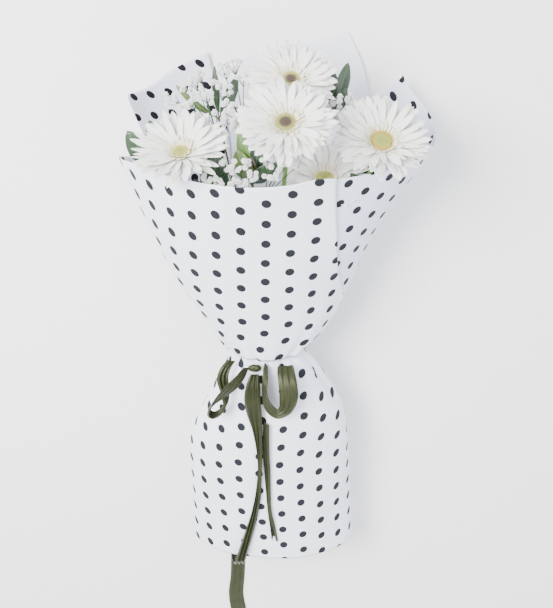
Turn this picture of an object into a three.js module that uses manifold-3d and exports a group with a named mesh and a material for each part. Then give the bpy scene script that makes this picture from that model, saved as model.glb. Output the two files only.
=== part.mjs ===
// A hand-tied gerbera bouquet in a polka-dot paper wrap with a satin ribbon, lying on its back.
// Millimetres, +Z up. The bouquet is modelled along its own axis, x across, y from the cut stems
// to the heads, z towards its front, and is laid down on the floor by the last lines.
import * as THREE from "three";
import { mergeVertices } from "three/addons/utils/BufferGeometryUtils.js";
import Module from "manifold-3d";

const wasm = await Module();
wasm.setup();

// ---- driving dimensions ----
const PAPER = 0.8; // thickness of the solid that stands for a paper sheet
const SATIN = 0.7; // thickness of the solid that stands for the ribbon
const LAYER = 2.2; // spacing of the paper layers where sheets overlap
const TIE_HEIGHT = 318; // middle of the tie above the cut end of the skirt
const NECK_RADIUS = 32; // outermost cone sheet inside the tie
const LYING_TILT = THREE.MathUtils.degToRad(4); // head end raised, as skirt and rim share the floor
const FLOOR_AT_SKIRT = -53; // floor below the axis at the skirt's open end
const STEM_RADIUS = 2.6;
const CUT_HEIGHT = 46; // cut ends of the stems, inside the skirt

const AXIS_UP = new THREE.Vector3(0, 0, 1);
const bouquet = new THREE.Group();
const lying = new THREE.Group();
bouquet.add(lying);

// ---- materials ----
function finish(colour, roughness) {
  return new THREE.MeshStandardMaterial({
    color: colour,
    roughness,
    metalness: 0,
    side: THREE.DoubleSide,
  });
}
const dottedPaper = () => finish(0xeceef8, 0.7);
const plainPaper = () => finish(0xf2f3fb, 0.7);
const satin = () => finish(0x59633a, 0.4);
const petal = () => finish(0xf6f3ea, 0.6);
const greenTissue = () => finish(0x5f7f3a, 0.6);
const discTissue = () => finish(0xb4b73c, 0.8);
const leafTissue = () => finish(0x2f4f2c, 0.45);
const sprayTissue = () => finish(0xe9edf0, 0.7);

// ---- general shapes ----
function addMesh(parent, name, geometry, material) {
  const mesh = new THREE.Mesh(geometry, material);
  mesh.name = name;
  parent.add(mesh);
  return mesh;
}

// Value of a table [[x, y, ...], ...] at x, on a smooth curve through its rows.
function along(rows, x, column = 1) {
  const last = rows.length - 1;
  const turn = rows[0][0] < rows[last][0] ? 1 : -1;
  let i = 0;
  while (i < last - 1 && (x - rows[i + 1][0]) * turn > 0) i += 1;
  const slopeAt = (k) => {
    const a = rows[Math.max(k - 1, 0)];
    const b = rows[Math.min(k + 1, last)];
    return (b[column] - a[column]) / (b[0] - a[0]);
  };
  const width = rows[i + 1][0] - rows[i][0];
  const t = THREE.MathUtils.clamp((x - rows[i][0]) / width, 0, 1);
  const [p, q] = [rows[i][column], rows[i + 1][column]];
  const [m, n] = [slopeAt(i) * width, slopeAt(i + 1) * width];
  const t2 = t * t;
  const t3 = t2 * t;
  return (2 * t3 - 3 * t2 + 1) * p + (t3 - 2 * t2 + t) * m + (3 * t2 - 2 * t3) * q + (t3 - t2) * n;
}

// Closed body of a thin sheet: point(u, v) is its middle surface, u across and v along, 0 to 1.
// A ring closes on itself in u.
function sheetGeometry(point, across, rows, thickness, ring = false) {
  const columns = ring ? across : across + 1;
  const lines = rows + 1;
  const middle = [];
  for (let j = 0; j < lines; j += 1) {
    for (let i = 0; i < columns; i += 1) middle.push(point(i / across, j / rows));
  }
  const at = (i, j) => middle[j * columns + (ring ? (i + columns) % columns : i)];
  const clampColumn = (i) => (ring ? i : THREE.MathUtils.clamp(i, 0, columns - 1));
  const positions = [];
  for (const side of [1, -1]) {
    for (let j = 0; j < lines; j += 1) {
      for (let i = 0; i < columns; i += 1) {
        const du = at(clampColumn(i + 1), j).clone().sub(at(clampColumn(i - 1), j));
        const dv = at(i, Math.min(j + 1, rows)).clone().sub(at(i, Math.max(j - 1, 0)));
        const normal = du.cross(dv).normalize();
        const p = at(i, j).clone().addScaledVector(normal, (side * thickness) / 2);
        positions.push(p.x, p.y, p.z);
      }
    }
  }
  const index = [];
  const half = lines * columns;
  const id = (i, j, side) => side * half + j * columns + (ring ? i % columns : i);
  const quad = (a, b, c, d) => index.push(a, b, c, a, c, d);
  for (let j = 0; j < rows; j += 1) {
    for (let i = 0; i < across; i += 1) {
      quad(id(i, j, 0), id(i + 1, j, 0), id(i + 1, j + 1, 0), id(i, j + 1, 0));
      quad(id(i, j, 1), id(i, j + 1, 1), id(i + 1, j + 1, 1), id(i + 1, j, 1));
    }
  }
  for (let i = 0; i < across; i += 1) {
    quad(id(i, 0, 0), id(i, 0, 1), id(i + 1, 0, 1), id(i + 1, 0, 0));
    quad(id(i, rows, 0), id(i + 1, rows, 0), id(i + 1, rows, 1), id(i, rows, 1));
  }
  if (!ring) {
    for (let j = 0; j < rows; j += 1) {
      quad(id(0, j, 0), id(0, j + 1, 0), id(0, j + 1, 1), id(0, j, 1));
      quad(id(across, j, 0), id(across, j, 1), id(across, j + 1, 1), id(across, j + 1, 0));
    }
  }
  const geometry = new THREE.BufferGeometry();
  geometry.setAttribute("position", new THREE.Float32BufferAttribute(positions, 3));
  geometry.setIndex(index);
  return facingOut(geometry);
}

// Turns a closed geometry's faces so that they point outwards.
function facingOut(geometry) {
  const position = geometry.getAttribute("position");
  const index = geometry.index.array;
  const [a, b, c] = [new THREE.Vector3(), new THREE.Vector3(), new THREE.Vector3()];
  let volume = 0;
  for (let i = 0; i < index.length; i += 3) {
    a.fromBufferAttribute(position, index[i]);
    b.fromBufferAttribute(position, index[i + 1]);
    c.fromBufferAttribute(position, index[i + 2]);
    volume += a.dot(b.cross(c)) / 6;
  }
  if (volume < 0) {
    for (let i = 0; i < index.length; i += 3) {
      [index[i + 1], index[i + 2]] = [index[i + 2], index[i + 1]];
    }
  }
  return geometry;
}

function tubeGeometry(points, radius, sides, steps) {
  const section = new THREE.Shape(
    new THREE.Path().absarc(0, 0, radius, 0, 2 * Math.PI).getSpacedPoints(sides).slice(0, sides),
  );
  const path = new THREE.CatmullRomCurve3(points);
  return new THREE.ExtrudeGeometry(section, { steps, bevelEnabled: false, extrudePath: path });
}

// One solid of several closed geometries that run into each other.
function joined(geometries) {
  const solids = geometries.map((geometry) => {
    const bare = geometry.clone();
    bare.deleteAttribute("normal");
    bare.deleteAttribute("uv");
    const merged = facingOut(mergeVertices(bare, 1e-3));
    return new wasm.Manifold(
      new wasm.Mesh({
        numProp: 3,
        vertProperties: merged.getAttribute("position").array,
        triVerts: new Uint32Array(merged.index.array),
      }),
    );
  });
  const mesh = solids.reduce((whole, part) => whole.add(part)).getMesh();
  const geometry = new THREE.BufferGeometry();
  geometry.setAttribute("position", new THREE.Float32BufferAttribute(mesh.vertProperties, 3));
  geometry.setIndex(Array.from(mesh.triVerts));
  return geometry;
}

// ---- paper wrap: one cone of oval sections that every upper sheet follows ----
// height, half width, centre across, depth to the front, depth to the back
const CONE = [
  [311, 50, -13, 46.5, 41],
  [330, 66, -11, 50, 44],
  [345, 76, -10, 53, 48],
  [372, 91, -11, 60, 55],
  [400, 106, -14, 67, 62],
  [456, 129, -15, 83, 76],
  [513, 153, -10, 99, 90],
  [568, 177, -2, 115, 101],
  [600, 184, 0, 120, 108],
  [640, 190, 1, 122, 112],
  [680, 195, 2, 124, 114],
];
const CONE_FOOT = CONE[0][0];
const BACK_INSET = 2 * LAYER; // inset of the sheet that lies on the floor
const NECK_CENTRE = -9;

function floorHeight(y) {
  return FLOOR_AT_SKIRT - y * Math.tan(LYING_TILT);
}

// Keeps a point of a paper sheet above the floor, with the sheets that lie between them.
function onFloor(p, below = 0) {
  const lowest = floorHeight(p.y) + below + PAPER / 2 / Math.cos(LYING_TILT);
  return p.setZ(Math.max(p.z, lowest));
}

// Point of the cone at angle a from its front line, at height y, inset below the outermost layer.
function conePoint(a, y, inset) {
  const depth = along(CONE, y, Math.cos(a) > 0 ? 3 : 4) - inset;
  const x = along(CONE, y, 2) + (along(CONE, y, 1) - inset) * Math.sin(a);
  return onFloor(new THREE.Vector3(x, y, depth * Math.cos(a)), Math.max(inset - BACK_INSET, 0));
}

function ringPoint(a, y, radius, flattening = 1) {
  return new THREE.Vector3(
    NECK_CENTRE + radius * Math.sin(a),
    y,
    3 + radius * flattening * Math.cos(a),
  );
}

// A sheet covers the angles between its two edges, given by height, up to its top edge, given by
// angle. Below the cone it gathers into the neck inside the tie, over a pouch or straight.
function coneSheet({ leftEdge, rightEdge, topEdge, neckRows, from, inset, across, rows }) {
  const spread = (u, y) => {
    const left = along(leftEdge, y);
    const right = along(rightEdge, y);
    return left + (right - left) * u;
  };
  const degrees = THREE.MathUtils.degToRad;
  return sheetGeometry(
    (u, v) => {
      const line = Math.round(v * (neckRows.length + rows));
      if (line < neckRows.length) {
        const [y, radius, flattening] = neckRows[line];
        return ringPoint(degrees(spread(u, from)), y, radius - inset, flattening);
      }
      const t = (line - neckRows.length) / rows;
      let angle = spread(u, 560);
      for (let pass = 0; pass < 4; pass += 1) {
        const top = along(topEdge, angle);
        angle = spread(u, from + (top - from) * t);
      }
      const y = from + (along(topEdge, angle) - from) * t;
      return conePoint(degrees(angle), y, inset);
    },
    across,
    neckRows.length + rows,
    PAPER,
  );
}

const POUCH_NECK = [
  [298, NECK_RADIUS, 1],
  [327, NECK_RADIUS, 1],
  [334, 37, 1],
  [322, 43.5, 0.96],
];
const STRAIGHT_NECK = [
  [298, NECK_RADIUS, 1],
  [330, NECK_RADIUS, 1],
  [341, 38, 0.95],
  [348, 50, 0.8],
  [358, 66, 0.7],
];
const STRAIGHT_START = 372;

// Front sheet: from the left of the back round the front to a free edge right of the middle.
function frontSheet() {
  return coneSheet({
    leftEdge: [
      [311, -112],
      [570, -104],
      [640, -100],
    ],
    rightEdge: [
      [311, 114],
      [345, 102],
      [372, 82],
      [400, 61],
      [435, 46],
      [482, 35],
      [519, 28],
      [565, 21],
      [620, 18],
    ],
    topEdge: [
      [-112, 588],
      [-90, 582],
      [-64, 571],
      [-40, 561],
      [-12, 556],
      [5, 559],
      [14, 565],
      [22, 565],
      [60, 570],
    ],
    neckRows: POUCH_NECK,
    from: CONE_FOOT,
    inset: 0,
    across: 18,
    rows: 12,
  });
}

// Right sheet: from under the front sheet round the right side, up to a corner at the back.
function rightSheet() {
  return coneSheet({
    leftEdge: [
      [372, 40],
      [456, 15],
      [565, -4],
      [640, -8],
    ],
    rightEdge: [
      [372, 150],
      [540, 150],
      [590, 141],
      [632, 128],
      [680, 120],
    ],
    topEdge: [
      [-10, 540],
      [10, 554],
      [22, 562],
      [46, 566],
      [65, 571],
      [80, 579],
      [92, 587],
      [110, 603],
      [122, 618],
      [128, 632],
      [150, 650],
    ],
    neckRows: STRAIGHT_NECK,
    from: STRAIGHT_START,
    inset: LAYER,
    across: 14,
    rows: 8,
  });
}

// Middle back sheet: the plain one that lies against the floor behind the heads.
function middleBackSheet() {
  return coneSheet({
    leftEdge: [
      [372, 242],
      [560, 240],
      [640, 226],
      [680, 222],
    ],
    rightEdge: [
      [372, 118],
      [500, 122],
      [600, 141],
      [640, 147],
      [676, 154],
    ],
    topEdge: [
      [154, 676],
      [168, 666],
      [188, 653],
      [200, 640],
      [226, 622],
      [240, 616],
    ],
    neckRows: STRAIGHT_NECK,
    from: STRAIGHT_START,
    inset: BACK_INSET,
    across: 14,
    rows: 8,
  });
}

// Left back sheet: the dotted one that stands behind the left heads, with two cut corners.
function leftBackSheet() {
  return coneSheet({
    leftEdge: [
      [372, 248],
      [560, 246],
      [618, 254],
      [660, 256],
    ],
    rightEdge: [
      [372, 196],
      [560, 200],
      [655, 207],
      [680, 208],
    ],
    topEdge: [
      [207, 655],
      [223, 637],
      [238, 621],
      [254, 618],
    ],
    neckRows: STRAIGHT_NECK,
    from: STRAIGHT_START,
    inset: BACK_INSET + 2 * LAYER,
    across: 9,
    rows: 8,
  });
}

// ---- skirt: a separate dotted sheet wrapped round the stems and tied over the cone's neck ----
// height, half width, centre across, half depth, centre in depth
const SKIRT = [
  [0, 113, -4, 58.5, 0],
  [60, 110, -7, 58.5, 0],
  [120, 109, -10, 58.5, 0],
  [165, 106, -11, 58.5, 0],
  [200, 98, -8, 58, 0],
  [222, 90, -6, 57, 0],
  [260, 70, -7, 52, 0],
  [288, 53, -8, 46, 1],
  [304, 41, -9, 38, 3],
  [311, 35.6, -9, 35.6, 3],
  [324, 34.4, -9, 34.4, 3],
];

function skirtSheet() {
  const last = SKIRT.length - 1;
  return sheetGeometry(
    (u, v) => {
      const a = 2 * Math.PI * u;
      const [y, halfWidth, middle, halfDepth, rise] = SKIRT[Math.round(v * last)];
      const x = middle + halfWidth * Math.sin(a);
      return onFloor(new THREE.Vector3(x, y, rise + halfDepth * Math.cos(a)));
    },
    28,
    last,
    PAPER,
    true,
  );
}

function addWrap() {
  addMesh(lying, "wrap_front_sheet", frontSheet(), dottedPaper());
  addMesh(lying, "wrap_right_sheet", rightSheet(), dottedPaper());
  addMesh(lying, "wrap_left_back_sheet", leftBackSheet(), dottedPaper());
  addMesh(lying, "wrap_middle_back_sheet", middleBackSheet(), plainPaper());
  addMesh(lying, "wrap_skirt", skirtSheet(), dottedPaper());
}

// ---- satin ribbon ----
// Band round the tie, a knot under the pouch, two loops and two tails that lie on the skirt.
// Each route is a list of a point, the direction across the ribbon and the width there.
const tailRest = (x, y) => [x, y, floorHeight(y) + 2];
const RIBBON_ROUTES = {
  right_loop: [
    [[-13, 306, 47], [0.3, 0, 1], 9],
    [[-14, 297, 57], [0.3, 0, 1], 19],
    [[-15, 283, 66], [0.3, 0, 1], 23],
    [[-13, 269, 69], [0.5, 0.2, 0.9], 22],
    [[-8, 256, 71], [0.7, 0.6, 0.6], 20],
    [[1, 249, 72], [0, 1, 0.3], 18],
    [[11, 256, 72], [-0.8, 0.7, 0.2], 20],
    [[15, 272, 71], [-1, 0.1, 0.1], 23],
    [[14, 288, 66], [-1, 0, 0], 23],
    [[12, 299, 57], [-1, 0, 0.1], 22],
    [[11, 305, 48], [-1, 0, 0.2], 20],
  ],
  left_loop: [
    [[-38, 304, 51], [-0.4, 0.5, 0.8], 14],
    [[-44, 299, 62], [-0.5, 0.5, 0.7], 20],
    [[-54, 289, 69], [-0.6, 0.5, 0.6], 22],
    [[-68, 275, 71], [-0.5, 0.4, 0.7], 22],
    [[-79, 261, 70], [-0.2, 0.3, 0.9], 20],
    [[-84, 251, 69], [0, 0, 1], 18],
    [[-79, 244, 67], [0, 0, 1], 15],
    [[-70, 247, 64], [0, 0, 1], 12],
    [[-63, 257, 60], [-0.3, 0, 1], 11],
    [[-63, 271, 55], [-0.8, 0, 0.6], 13],
    [[-66, 287, 49], [-0.9, 0, 0.5], 16],
    [[-62, 299, 44], [-0.8, 0.2, 0.5], 16],
    [[-55, 307, 39], [-0.7, 0.4, 0.5], 12],
  ],
  long_tail: [
    [[-27, 294, 50], [1, 0, 0], 10],
    [[-29, 280, 57], [1, 0, 0.2], 18],
    [[-30, 262, 60.5], [1, 0, 0.2], 21],
    [[-28, 240, 62], [1, 0, 0.3], 20],
    [[-25, 217, 63], [1, 0, 0.5], 14],
    [[-22.5, 190, 63], [1, 0, 0.9], 9],
    [[-21.5, 165, 63], [0.5, 0, 1], 6],
    [[-22.5, 140, 63], [0.5, 0, 1], 6],
    [[-25, 112, 62.5], [1, 0, 0.9], 8],
    [[-31, 76, 61.5], [1, 0, 0.5], 10],
    [[-39, 42, 61], [1, 0, 0.2], 12],
    [[-46, 14, 61], [1, 0, 0], 13],
    [[-51, -6, 58], [1, 0.1, 0], 15],
    [[-54, -18, 38], [1, 0.1, 0], 17],
    [[-56, -24, 5], [1, 0, 0], 19],
    [[-57, -31, -28], [1, 0, 0], 21],
    [tailRest(-58, -54), [1, 0, 0], 22],
    [tailRest(-59, -90), [1, 0, 0], 22],
    [tailRest(-61, -135), [1, 0.1, 0], 22],
    [tailRest(-64, -170), [1, 0, 0], 23],
    [tailRest(-60, -205), [1, 0.3, 0], 24],
    [tailRest(-51, -238), [1, 0.3, 0], 24],
  ],
  short_tail: [
    [[-13, 228, 61], [0.6, 0, 0.8], 8],
    [[-14, 190, 62], [0.8, 0, 0.7], 10],
    [[-12.5, 154, 62], [0.8, 0, 0.7], 9],
    [[-11, 120, 62], [0.6, 0, 0.8], 7],
    [[-9.5, 90, 62], [0.4, 0, 1], 6],
    [[-6, 62, 61.5], [0.8, 0, 0.6], 7],
    [[-2.5, 32, 61], [0.9, 0, 0.3], 9],
  ],
};

function ribbonStrip(route) {
  const path = new THREE.CatmullRomCurve3(route.map(([p]) => new THREE.Vector3(...p)));
  const sides = new THREE.CatmullRomCurve3(route.map(([, side]) => new THREE.Vector3(...side)));
  const widths = route.map(([, , width], i) => [i, width]);
  const last = route.length - 1;
  return sheetGeometry(
    (u, v) => {
      const side = sides.getPoint(v).normalize();
      return path.getPoint(v).addScaledVector(side, along(widths, v * last) * (u - 0.5));
    },
    1,
    2 * last,
    SATIN,
  );
}

function addRibbon() {
  const band = sheetGeometry(
    (u, v) => ringPoint(2 * Math.PI * u, TIE_HEIGHT - 5 + 10 * v, 37.6),
    24,
    1,
    SATIN,
    true,
  );
  addMesh(lying, "ribbon_band", band, satin());
  const knot = new THREE.SphereGeometry(1, 12, 8);
  knot.scale(8, 5, 3.5);
  const knotMesh = addMesh(lying, "ribbon_knot", knot, satin());
  knotMesh.position.set(-27, 300.5, 46.5);
  for (const [piece, route] of Object.entries(RIBBON_ROUTES)) {
    addMesh(lying, `ribbon_${piece}`, ribbonStrip(route), satin());
  }
}

// ---- gerberas ----
// Head centre, tilt of the face from the front towards the heads, lean to the right, petal
// radius, cup of the petals, number of petals, disc radius.
const GERBERAS = [
  { name: "left", at: [-100, 577, 72], face: 62, lean: -8, radius: 53, cup: 20, petals: 22, disc: 8 },
  { name: "top", at: [15, 648, 46], face: 52, lean: 0, radius: 50, cup: 9, petals: 24, disc: 9 },
  { name: "middle", at: [9, 622, 120], face: 52, lean: -2, radius: 51, cup: 14, petals: 26, disc: 10 },
  { name: "right", at: [106, 594, 90], face: 50, lean: 8, radius: 51, cup: 22, petals: 24, disc: 12 },
  { name: "lower", at: [53, 543, 44], face: 66, lean: 3, radius: 47, cup: 24, petals: 22, disc: 9 },
];
const NECK_BELOW_FACE = 14.6; // stem end below the middle of the face

function faceDirection(flower) {
  const face = THREE.MathUtils.degToRad(flower.face);
  const lean = THREE.MathUtils.degToRad(flower.lean);
  const out = new THREE.Vector3(0, Math.sin(face), Math.cos(face));
  return out.applyAxisAngle(new THREE.Vector3(0, 1, 0), lean);
}

// A ring of petals as one scalloped dish round the middle of the head.
function petalRing(count, holeRadius, radius, notch, lift, cup, rows) {
  const slope = Math.tan(THREE.MathUtils.degToRad(cup));
  return sheetGeometry(
    (u, v) => {
      const a = 2 * Math.PI * u;
      const tip = Math.round(u * count * 2) % 2 === 0;
      const reach = tip ? radius : radius * notch;
      const r = holeRadius + (reach - holeRadius) * rows[Math.round(v * (rows.length - 1))];
      return new THREE.Vector3(r * Math.cos(a), r * Math.sin(a), lift + r * slope);
    },
    count * 2,
    rows.length - 1,
    1.1,
    true,
  );
}

function latheGeometry(profile, segments) {
  const outline = profile.map(([r, z]) => new THREE.Vector2(r, z));
  return new THREE.LatheGeometry(outline, segments).rotateX(Math.PI / 2);
}

function addHead(flower) {
  const head = new THREE.Group();
  head.position.set(...flower.at);
  head.quaternion.setFromUnitVectors(AXIS_UP, faceDirection(flower));
  lying.add(head);
  const name = (piece) => `gerbera_${flower.name}_${piece}`;
  const calyx = latheGeometry(
    [
      [0, -14.2],
      [3.4, -14.2],
      [8.2, -10],
      [10, -4.5],
      [8.6, -1.6],
      [0, -1.6],
    ],
    10,
  );
  addMesh(head, name("calyx"), calyx, greenTissue());
  const rays = petalRing(flower.petals, 3, flower.radius, 0.62, -0.2, flower.cup, [0, 0.5, 1]);
  addMesh(head, name("ray_petals"), rays, petal());
  const innerCup = flower.cup + 14;
  const inner = petalRing(16, 3, flower.disc + 13, 0.66, 2.2, innerCup, [0, 1]);
  addMesh(head, name("inner_petals"), inner, petal());
  const edge = 3.6 + flower.disc * Math.tan(THREE.MathUtils.degToRad(innerCup));
  const disc = latheGeometry(
    [
      [0, 3.6],
      [flower.disc, edge],
      [flower.disc, edge + 1.6],
      [flower.disc * 0.7, edge + 3.2],
      [0, edge + 3.6],
    ],
    12,
  );
  addMesh(head, name("disc"), disc, discTissue());
}

// ---- stems through the tie ----
// Every stem, spray and sprig passes the tie; where is the point it heads for above it.
const tied = [];

function tieStem(name, where, radius) {
  const reach = new THREE.Vector2(where.x - NECK_CENTRE, where.z - 3);
  const stem = { name, radius, spot: reach.multiplyScalar(0.12) };
  tied.push(stem);
  return stem;
}

// Stems press together at the tie: pairs that would touch are pushed apart, a little at a time.
function packAtTie() {
  const gap = 1.6;
  for (let round = 0; round < 400; round += 1) {
    for (let i = 0; i < tied.length; i += 1) {
      for (let j = i + 1; j < tied.length; j += 1) {
        const apart = tied[i].spot.clone().sub(tied[j].spot);
        const short = tied[i].radius + tied[j].radius + gap - apart.length();
        if (short > 0) {
          apart.setLength(short / 2);
          tied[i].spot.add(apart);
          tied[j].spot.sub(apart);
        }
      }
      tied[i].spot.multiplyScalar(0.999);
    }
  }
}

function tiePoint(stem, y, spread) {
  return new THREE.Vector3(NECK_CENTRE + stem.spot.x * spread, y, 3 + stem.spot.y * spread);
}

function lowerStem(stem) {
  return [tiePoint(stem, CUT_HEIGHT, 2.3), tiePoint(stem, 190, 1.55), tiePoint(stem, 300, 1.02)];
}

function gerberaStemPath(stem, flower) {
  const out = faceDirection(flower);
  const head = new THREE.Vector3(...flower.at);
  const end = head.clone().addScaledVector(out, -NECK_BELOW_FACE);
  const bend = head.clone().addScaledVector(out, -NECK_BELOW_FACE - 34);
  const tie = tiePoint(stem, 330, 1.05);
  const half = tie.clone().lerp(bend, 0.5);
  return [...lowerStem(stem), tie, half, bend, end];
}

// ---- gypsophila: branching sprays that end in small round blossoms ----
// Foot of the branches, then the tips of the branches.
const SPRAYS = [
  {
    name: "left_back",
    fork: [-66, 580, 4],
    tips: [
      [-110, 626, 26],
      [-99, 634, 14],
      [-86, 640, 20],
      [-93, 622, 30],
      [-76, 628, 26],
      [-66, 640, 12],
      [-83, 648, 2],
    ],
  },
  {
    name: "middle_back",
    fork: [-36, 596, 10],
    tips: [
      [-58, 652, 2],
      [-46, 656, -4],
      [-36, 645, 12],
      [-55, 634, 22],
      [-45, 622, 34],
      [-62, 618, 34],
      [-50, 606, 44],
    ],
  },
  {
    name: "front_left",
    fork: [-40, 524, 60],
    tips: [
      [-70, 560, 90],
      [-61, 552, 92],
      [-52, 570, 88],
      [-44, 558, 94],
      [-36, 572, 86],
      [-29, 554, 92],
      [-20, 562, 90],
    ],
  },
  {
    name: "middle",
    fork: [-12, 536, 74],
    tips: [
      [-8, 586, 98],
      [3, 580, 104],
      [15, 586, 104],
      [25, 580, 99],
      [-2, 570, 104],
    ],
  },
  {
    name: "right",
    fork: [80, 574, 4],
    tips: [
      [60, 626, 58],
      [68, 616, 64],
      [76, 608, 70],
      [72, 630, 50],
      [84, 622, 54],
    ],
  },
];

function sprayGeometry(stem, spray) {
  const fork = new THREE.Vector3(...spray.fork);
  const tie = tiePoint(stem, 330, 1.05);
  const path = [...lowerStem(stem), tie, tie.clone().lerp(fork, 0.5), fork];
  const pieces = [tubeGeometry(path, stem.radius, 5, 14)];
  for (const tip of spray.tips) {
    const end = new THREE.Vector3(...tip);
    const start = fork.clone().lerp(tie, 0.03);
    const knee = start.clone().lerp(end, 0.5);
    knee.z += 4;
    pieces.push(tubeGeometry([start, knee, end], 0.6, 4, 2));
    pieces.push(new THREE.IcosahedronGeometry(4, 0).translate(...tip));
  }
  return joined(pieces.map((piece) => indexed(piece)));
}

function indexed(geometry) {
  const bare = geometry.clone();
  bare.deleteAttribute("normal");
  bare.deleteAttribute("uv");
  return mergeVertices(bare, 1e-3);
}

// ---- leaf sprigs: leathery leaves on thin stems ----
// Foot of the leaves, then for each leaf its tip, width and the side its blade turns to.
const SPRIGS = [
  {
    name: "left",
    fork: [-128, 542, 20],
    leaves: [
      { tip: [-163, 592, 28], width: 27 },
      { tip: [-126, 592, 4], width: 20 },
    ],
  },
  {
    name: "front_left",
    fork: [-70, 520, 60],
    leaves: [
      { tip: [-52, 574, 64], width: 25 },
      { tip: [-88, 548, 70], width: 14 },
    ],
  },
  {
    name: "middle",
    fork: [-26, 540, 52],
    leaves: [
      { tip: [-40, 600, 58], width: 11 },
      { tip: [-18, 592, 50], width: 14 },
      { tip: [-26, 574, 70], width: 15 },
    ],
  },
  {
    name: "right",
    fork: [104, 530, 26],
    leaves: [
      { tip: [114, 562, 66], width: 14 },
      { tip: [92, 580, 36], width: 14 },
    ],
  },
  {
    name: "top_right",
    fork: [60, 600, -2],
    leaves: [
      { tip: [82, 660, -12], width: 18 },
      { tip: [76, 634, 12], width: 13 },
    ],
  },
  {
    name: "top_left",
    fork: [-66, 592, -22],
    leaves: [
      { tip: [-112, 632, -14], width: 9 },
      { tip: [-69, 652, -20], width: 8 },
      { tip: [-44, 640, -22], width: 14 },
    ],
  },
];

function leafGeometry(foot, leaf) {
  const tip = new THREE.Vector3(...leaf.tip);
  const line = tip.clone().sub(foot);
  const side = new THREE.Vector3().crossVectors(line, new THREE.Vector3(0, -0.35, 1)).normalize();
  const widths = [0.06, 0.75, 1, 0.7, 0.06];
  return sheetGeometry(
    (u, v) => {
      const half = (leaf.width / 2) * widths[Math.round(v * 4)];
      const point = foot.clone().addScaledVector(line, v).addScaledVector(side, half * (2 * u - 1));
      point.z += 5 * Math.sin(Math.PI * v);
      return point;
    },
    2,
    4,
    0.9,
  );
}

function sprigGeometry(stem, sprig) {
  const fork = new THREE.Vector3(...sprig.fork);
  const tie = tiePoint(stem, 330, 1.05);
  const path = [...lowerStem(stem), tie, tie.clone().lerp(fork, 0.5), fork];
  const pieces = [tubeGeometry(path, stem.radius, 5, 14)];
  const foot = fork.clone().lerp(tie, 0.01);
  for (const leaf of sprig.leaves) pieces.push(leafGeometry(foot, leaf));
  return joined(pieces.map((piece) => indexed(piece)));
}

// ---- assembly ----
function addPlants() {
  const gerberaStems = GERBERAS.map((flower) =>
    tieStem(flower.name, new THREE.Vector3(...flower.at), STEM_RADIUS),
  );
  const sprayStems = SPRAYS.map((spray) =>
    tieStem(spray.name, new THREE.Vector3(...spray.fork), 1.1),
  );
  const sprigStems = SPRIGS.map((sprig) =>
    tieStem(sprig.name, new THREE.Vector3(...sprig.fork), 1.4),
  );
  packAtTie();
  GERBERAS.forEach((flower, i) => {
    const path = gerberaStemPath(gerberaStems[i], flower);
    const stem = tubeGeometry(path, STEM_RADIUS, 7, 16);
    addMesh(lying, `gerbera_${flower.name}_stem`, stem, greenTissue());
    addHead(flower);
  });
  SPRAYS.forEach((spray, i) => {
    const geometry = sprayGeometry(sprayStems[i], spray);
    addMesh(lying, `gypsophila_${spray.name}`, geometry, sprayTissue());
  });
  SPRIGS.forEach((sprig, i) => {
    const geometry = sprigGeometry(sprigStems[i], sprig);
    addMesh(lying, `leaf_sprig_${sprig.name}`, geometry, leafTissue());
  });
}

function addBinding() {
  const radius = 3 + Math.max(...tied.map((stem) => stem.spot.length() + stem.radius));
  const binding = sheetGeometry(
    (u, v) => ringPoint(2 * Math.PI * u, TIE_HEIGHT - 6 + 12 * v, radius),
    20,
    1,
    1.2,
    true,
  );
  addMesh(lying, "stem_binding", binding, greenTissue());
}

addWrap();
addRibbon();
addPlants();
addBinding();

// The bouquet lies down: its front faces up and the skirt and the back rim rest on z = 0.
lying.rotation.x = LYING_TILT;
lying.updateMatrixWorld(true);
const box = new THREE.Box3().setFromObject(lying, true);
lying.position.set(-(box.min.x + box.max.x) / 2, -(box.min.y + box.max.y) / 2, -box.min.z);

export default bouquet;
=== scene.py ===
import math
import random

import bpy
import numpy as np
from mathutils import Matrix, Vector


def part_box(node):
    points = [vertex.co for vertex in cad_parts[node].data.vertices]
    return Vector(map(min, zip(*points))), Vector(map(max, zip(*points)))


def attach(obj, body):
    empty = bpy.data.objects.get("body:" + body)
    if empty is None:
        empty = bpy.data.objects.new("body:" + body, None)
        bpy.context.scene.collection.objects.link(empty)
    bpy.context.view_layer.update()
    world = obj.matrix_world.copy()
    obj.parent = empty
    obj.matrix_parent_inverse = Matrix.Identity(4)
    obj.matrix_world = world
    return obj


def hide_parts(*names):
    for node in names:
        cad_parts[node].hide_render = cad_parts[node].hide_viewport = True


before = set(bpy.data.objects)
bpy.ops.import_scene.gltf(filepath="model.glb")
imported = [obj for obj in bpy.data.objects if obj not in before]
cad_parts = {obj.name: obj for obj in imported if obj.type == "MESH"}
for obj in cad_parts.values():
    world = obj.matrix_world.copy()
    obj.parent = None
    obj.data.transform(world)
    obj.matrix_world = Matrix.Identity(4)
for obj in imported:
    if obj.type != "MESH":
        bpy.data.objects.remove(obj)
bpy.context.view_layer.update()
bpy.ops.object.select_all(action="DESELECT")
shake = random.Random(11)

# ---- The bouquet's own axes ----
# It is drawn in millimetres along its own axis: x across, y from the cut stems to the heads,
# z to its front. It lies on its back with the heads raised by LYING_TILT; the knot gives the place.
MM = 0.001
LYING_TILT = math.radians(4)
KNOT_CENTRE = Vector((-27, 300.5, 46.5))
tilt = Matrix.Rotation(LYING_TILT, 3, "X")
knot_low, knot_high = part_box("ribbon_knot")
offset = (Vector(knot_low) + Vector(knot_high)) / 2 - tilt @ (KNOT_CENTRE * MM)


def lay_down(points):
    return np.asarray(points, float) * MM @ np.array(tilt).T + np.array(offset)


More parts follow.
